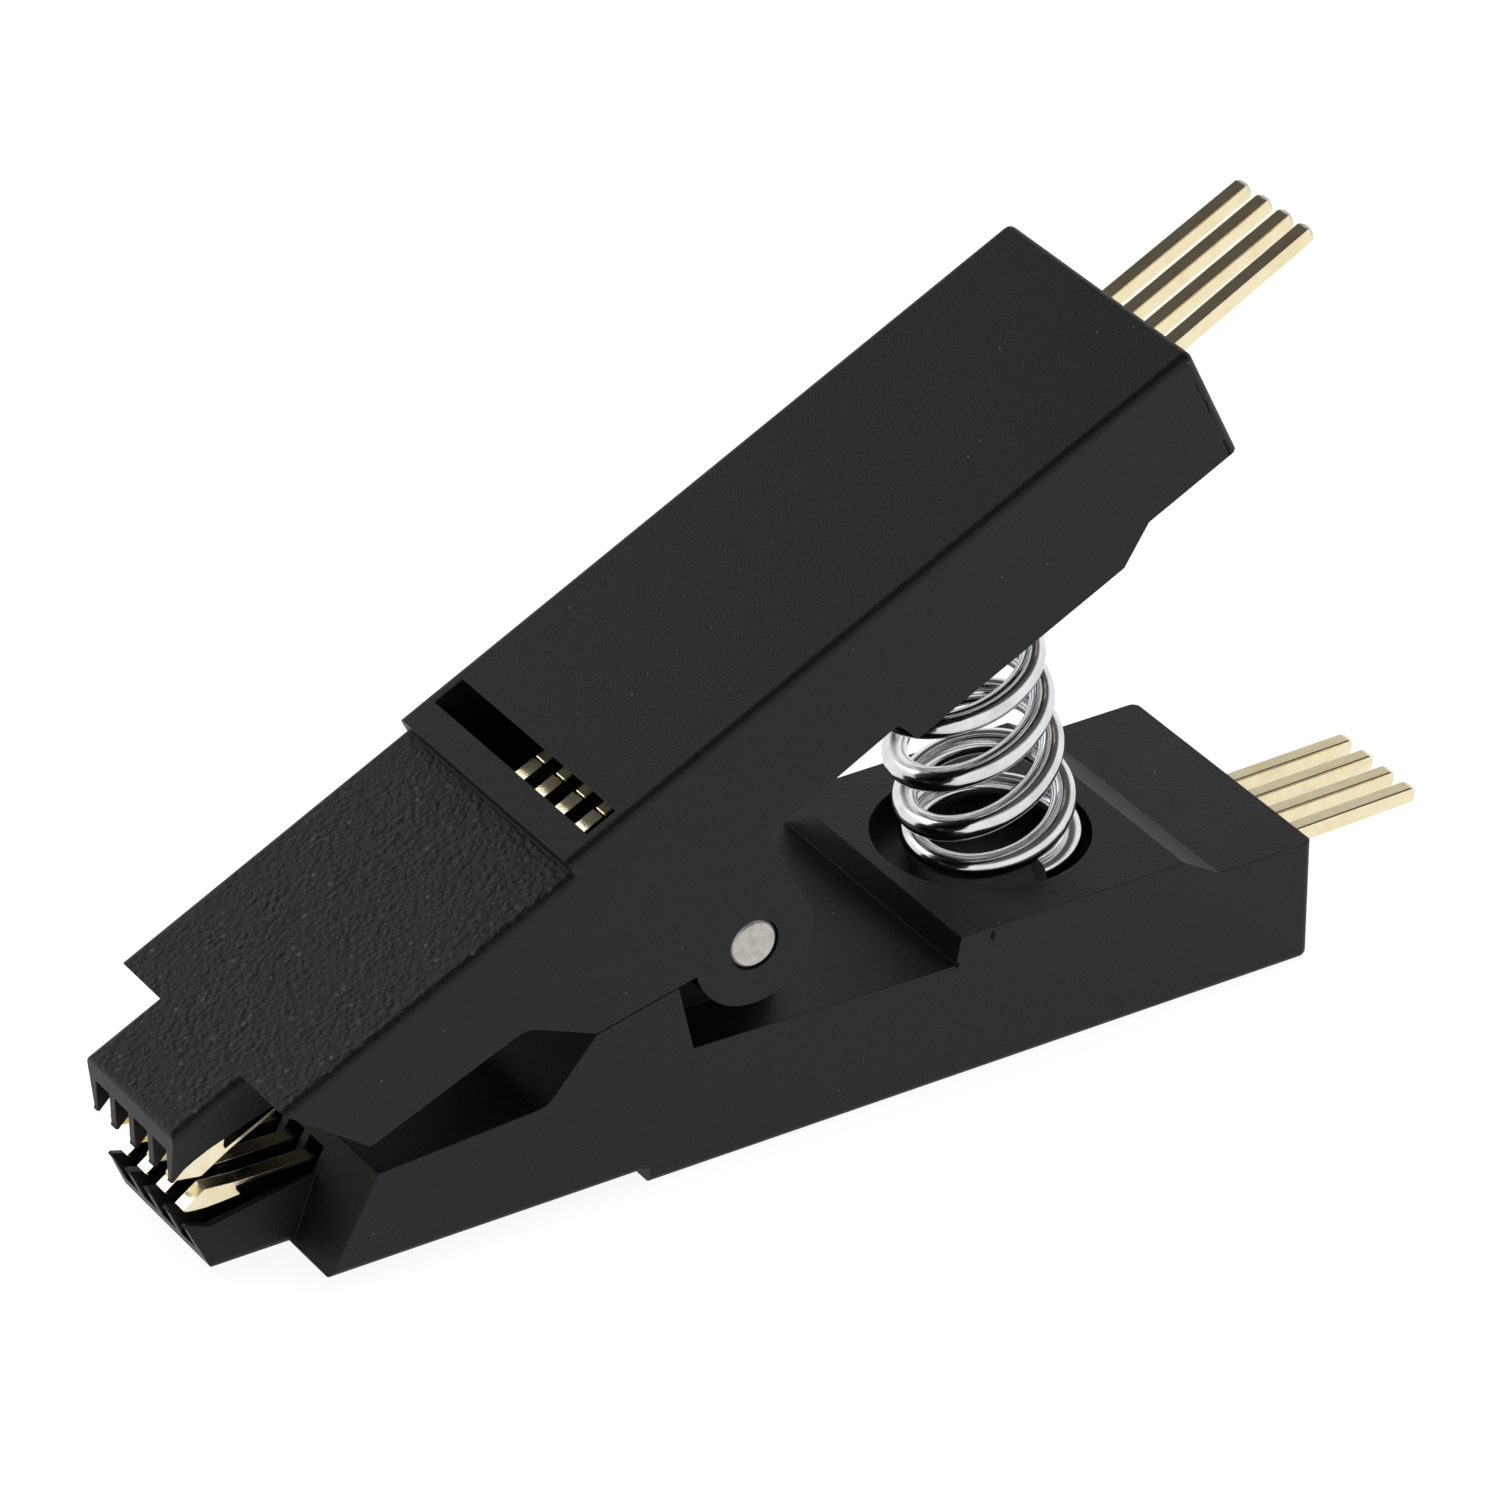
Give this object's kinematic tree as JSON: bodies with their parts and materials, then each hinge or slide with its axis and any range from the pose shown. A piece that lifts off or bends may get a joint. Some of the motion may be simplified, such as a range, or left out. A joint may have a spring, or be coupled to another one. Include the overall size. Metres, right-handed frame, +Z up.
{
  "type": "soic test clip",
  "caption": "Spring-loaded clip of two hinged plastic halves whose comb noses press gold contacts onto both rows of chip leads, with square header pins at the rear.",
  "frame": {"origin": "on the resting plane, the outer face of the lower half, under the hinge axis and in the middle of the width", "axes": "+X from the comb noses to the header pins, +Y to the far side across the width, +Z up away from the surface it lies on"},
  "size_m": [0.0505, 0.0108, 0.0267],
  "materials": {
    "body_plastic": "satin black, smooth with a fine cast texture on the grips",
    "contact_gold": "bright gold plating",
    "header_gold": "dull gold plating",
    "pin_steel": "turned steel",
    "spring_steel": "polished spring steel"
  },
  "bodies": {
    "lower": {"lower_body": "body_plastic", "hinge_pin": "pin_steel", "coil_spring": "spring_steel", "lower_contact_1": "contact_gold", "lower_header_pin_1": "header_gold", "lower_contact_2": "contact_gold", "lower_header_pin_2": "header_gold", "lower_contact_3": "contact_gold", "lower_header_pin_3": "header_gold", "lower_contact_4": "contact_gold", "lower_header_pin_4": "header_gold"},
    "upper": {"upper_body": "body_plastic", "upper_contact_1": "contact_gold", "upper_header_pin_1": "header_gold", "upper_contact_2": "contact_gold", "upper_header_pin_2": "header_gold", "upper_contact_3": "contact_gold", "upper_header_pin_3": "header_gold", "upper_contact_4": "contact_gold", "upper_header_pin_4": "header_gold"}
  },
  "joints": [
    {"name": "jaw_hinge", "type": "hinge", "parent": "lower", "child": "upper", "pos_m": [0, 0, 0.00815], "axis": [0, 1, 0], "range_deg": [0, 24], "stiffness_Nm_per_rad": 0.12, "springref_deg": -25.78, "deforming": ["coil_spring"]}
  ]
}
